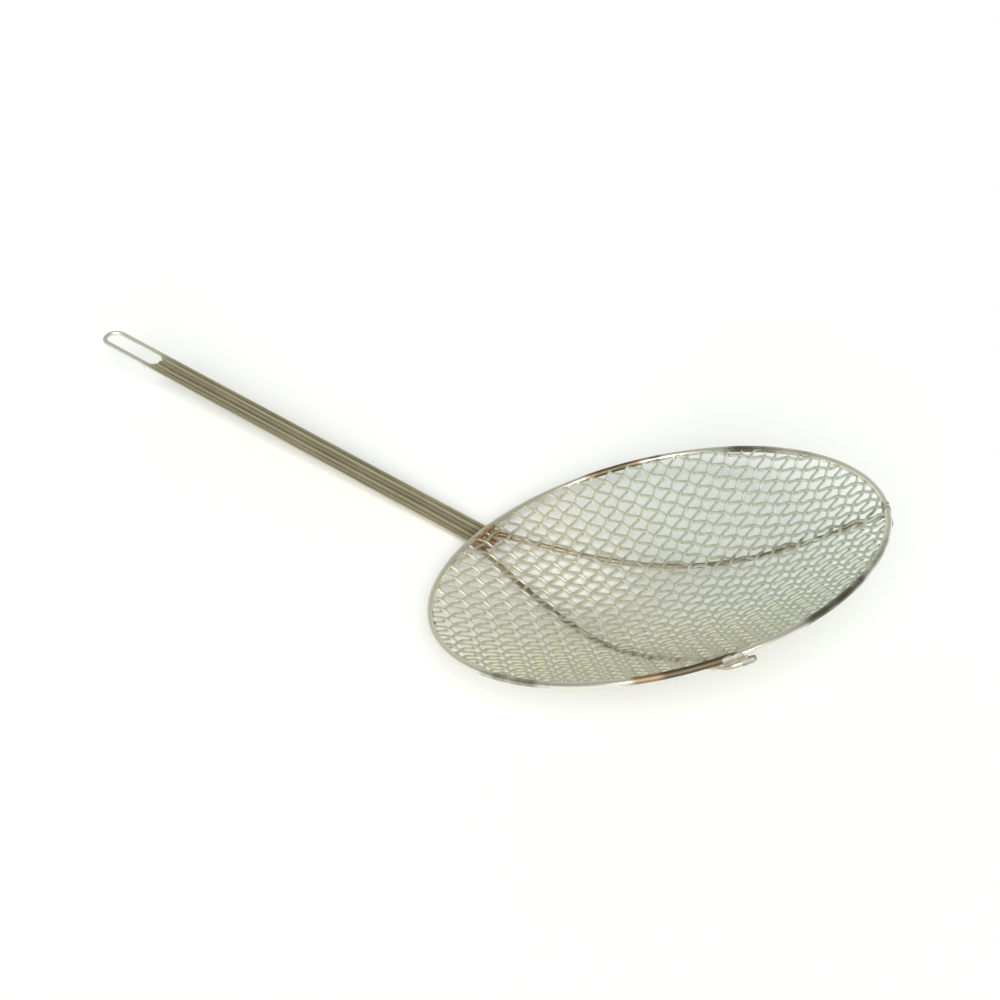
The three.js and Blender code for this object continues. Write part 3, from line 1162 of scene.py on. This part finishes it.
class SKIMMER_OT_stage(bpy.types.Operator):
    """Set the floor, the light and the camera"""

    bl_idname = "skimmer.stage"
    bl_label = "Stage"

    def execute(self, context):
        stage = context.scene.skimmer_stage
        self.lay_floor(stage)
        self.add_sun(context, stage)
        self.light_studio(context, stage)
        clear_selection()
        bpy.ops.object.camera_add()
        camera = context.object
        camera.matrix_world = rest_pose() @ Matrix.LocRotScale(stage.camera_place, stage.camera_turn, None)
        camera.data.lens = stage.lens
        context.scene.camera = camera
        context.scene.view_settings.view_transform = "Standard"
        return {"FINISHED"}

    def lay_floor(self, stage):
        clear_selection()
        bpy.ops.mesh.primitive_plane_add(size=FLOOR_SIZE)
        floor = named("floor")
        finish = Finish(bpy.data.materials.new("floor_paper"))
        paper = finish.node("ShaderNodeBsdfDiffuse", {}, {"Color": solid(stage.floor_white)})
        glow = finish.node("ShaderNodeEmission", {}, {"Color": (1, 1, 1, 1), "Strength": stage.floor_lift})
        lifted = finish.node("ShaderNodeAddShader", {}, {0: paper, 1: glow})
        rays = ("Is Camera Ray", "Is Glossy Ray", "Is Transmission Ray")
        seen = sum(finish.node("ShaderNodeLightPath", output=ray) for ray in rays)
        surface = finish.node("ShaderNodeMixShader", {}, {0: seen, 1: paper, 2: lifted})
        finish.node("ShaderNodeOutputMaterial", {}, {"Surface": surface})
        floor.data.materials.append(finish.owner)

    def add_sun(self, context, stage):
        clear_selection()
        turn = (math.pi / 2 - stage.sun_height, 0, stage.sun_side + math.pi / 2)
        bpy.ops.object.light_add(type="SUN", rotation=turn)
        lamp = context.object.data
        lamp.energy = stage.sun_strength
        lamp.angle = stage.sun_softness
        lamp.color = stage.sun_tint

    def light_studio(self, context, stage):
        """A pale studio with a bright low wall, a dim ceiling and one wide window."""
        world = bpy.data.worlds.new("studio")
        context.scene.world = world
        finish = Finish(world)
        direction = finish.node("ShaderNodeTexCoord", output="Generated")
        height = finish.node("ShaderNodeSeparateXYZ", {}, {0: direction}, output="Z")
        facing = finish.vectors("DOT_PRODUCT", direction, stage.window_side, output="Value")
        overhead = finish.ramp(height, 0.0, CEILING_HEIGHT)
        along_floor = 1.0 - finish.ramp(height, 0.0, WALL_HEIGHT)
        level = stage.horizon + (stage.ceiling - stage.horizon) * overhead
        level = level + stage.window * finish.ramp(facing, WINDOW_EDGE, 1.0)
        level = level + (stage.wall - stage.horizon) * along_floor
        sky = finish.node("ShaderNodeBackground", {}, {"Color": solid(stage.studio_tint), "Strength": level})
        finish.node("ShaderNodeOutputWorld", {}, {"Surface": sky})


STEPS = ("hoop", "cloth", "frame", "handle_wires", "handle_braze", "loop_braze", "rib_brazes", "stage")

GROUPS = {
    "skimmer_sizes": SkimmerSizes,
    "skimmer_brazes": SkimmerBrazes,
    "skimmer_colours": SkimmerColours,
    "skimmer_stage": SkimmerStage,
}


class SKIMMER_PT_panel(bpy.types.Panel):
    """Lists the steps that build the skimmer"""

    bl_idname = "SKIMMER_PT_panel"
    bl_label = "Wire Skimmer"
    bl_space_type = "VIEW_3D"
    bl_region_type = "UI"
    bl_category = "Skimmer"

    def draw(self, context):
        for step in STEPS:
            self.layout.operator("skimmer." + step)
        for name in GROUPS:
            group = getattr(context.scene, name)
            box = self.layout.box()
            for key in group.__annotations__:
                box.prop(group, key)


CLASSES = (
    *GROUPS.values(),
    SKIMMER_OT_hoop,
    SKIMMER_OT_cloth,
    SKIMMER_OT_frame,
    SKIMMER_OT_handle_wires,
    SKIMMER_OT_handle_braze,
    SKIMMER_OT_loop_braze,
    SKIMMER_OT_rib_brazes,
    SKIMMER_OT_stage,
    SKIMMER_PT_panel,
)


def register():
    for part in CLASSES:
        bpy.utils.register_class(part)
    for name, group in GROUPS.items():
        setattr(bpy.types.Scene, name, PointerProperty(type=group))


def unregister():
    for name in GROUPS:
        delattr(bpy.types.Scene, name)
    for part in reversed(CLASSES):
        bpy.utils.unregister_class(part)


def main():
    register()
    for step in STEPS:
        getattr(bpy.ops.skimmer, step)()


if __name__ == "__main__":
    main()
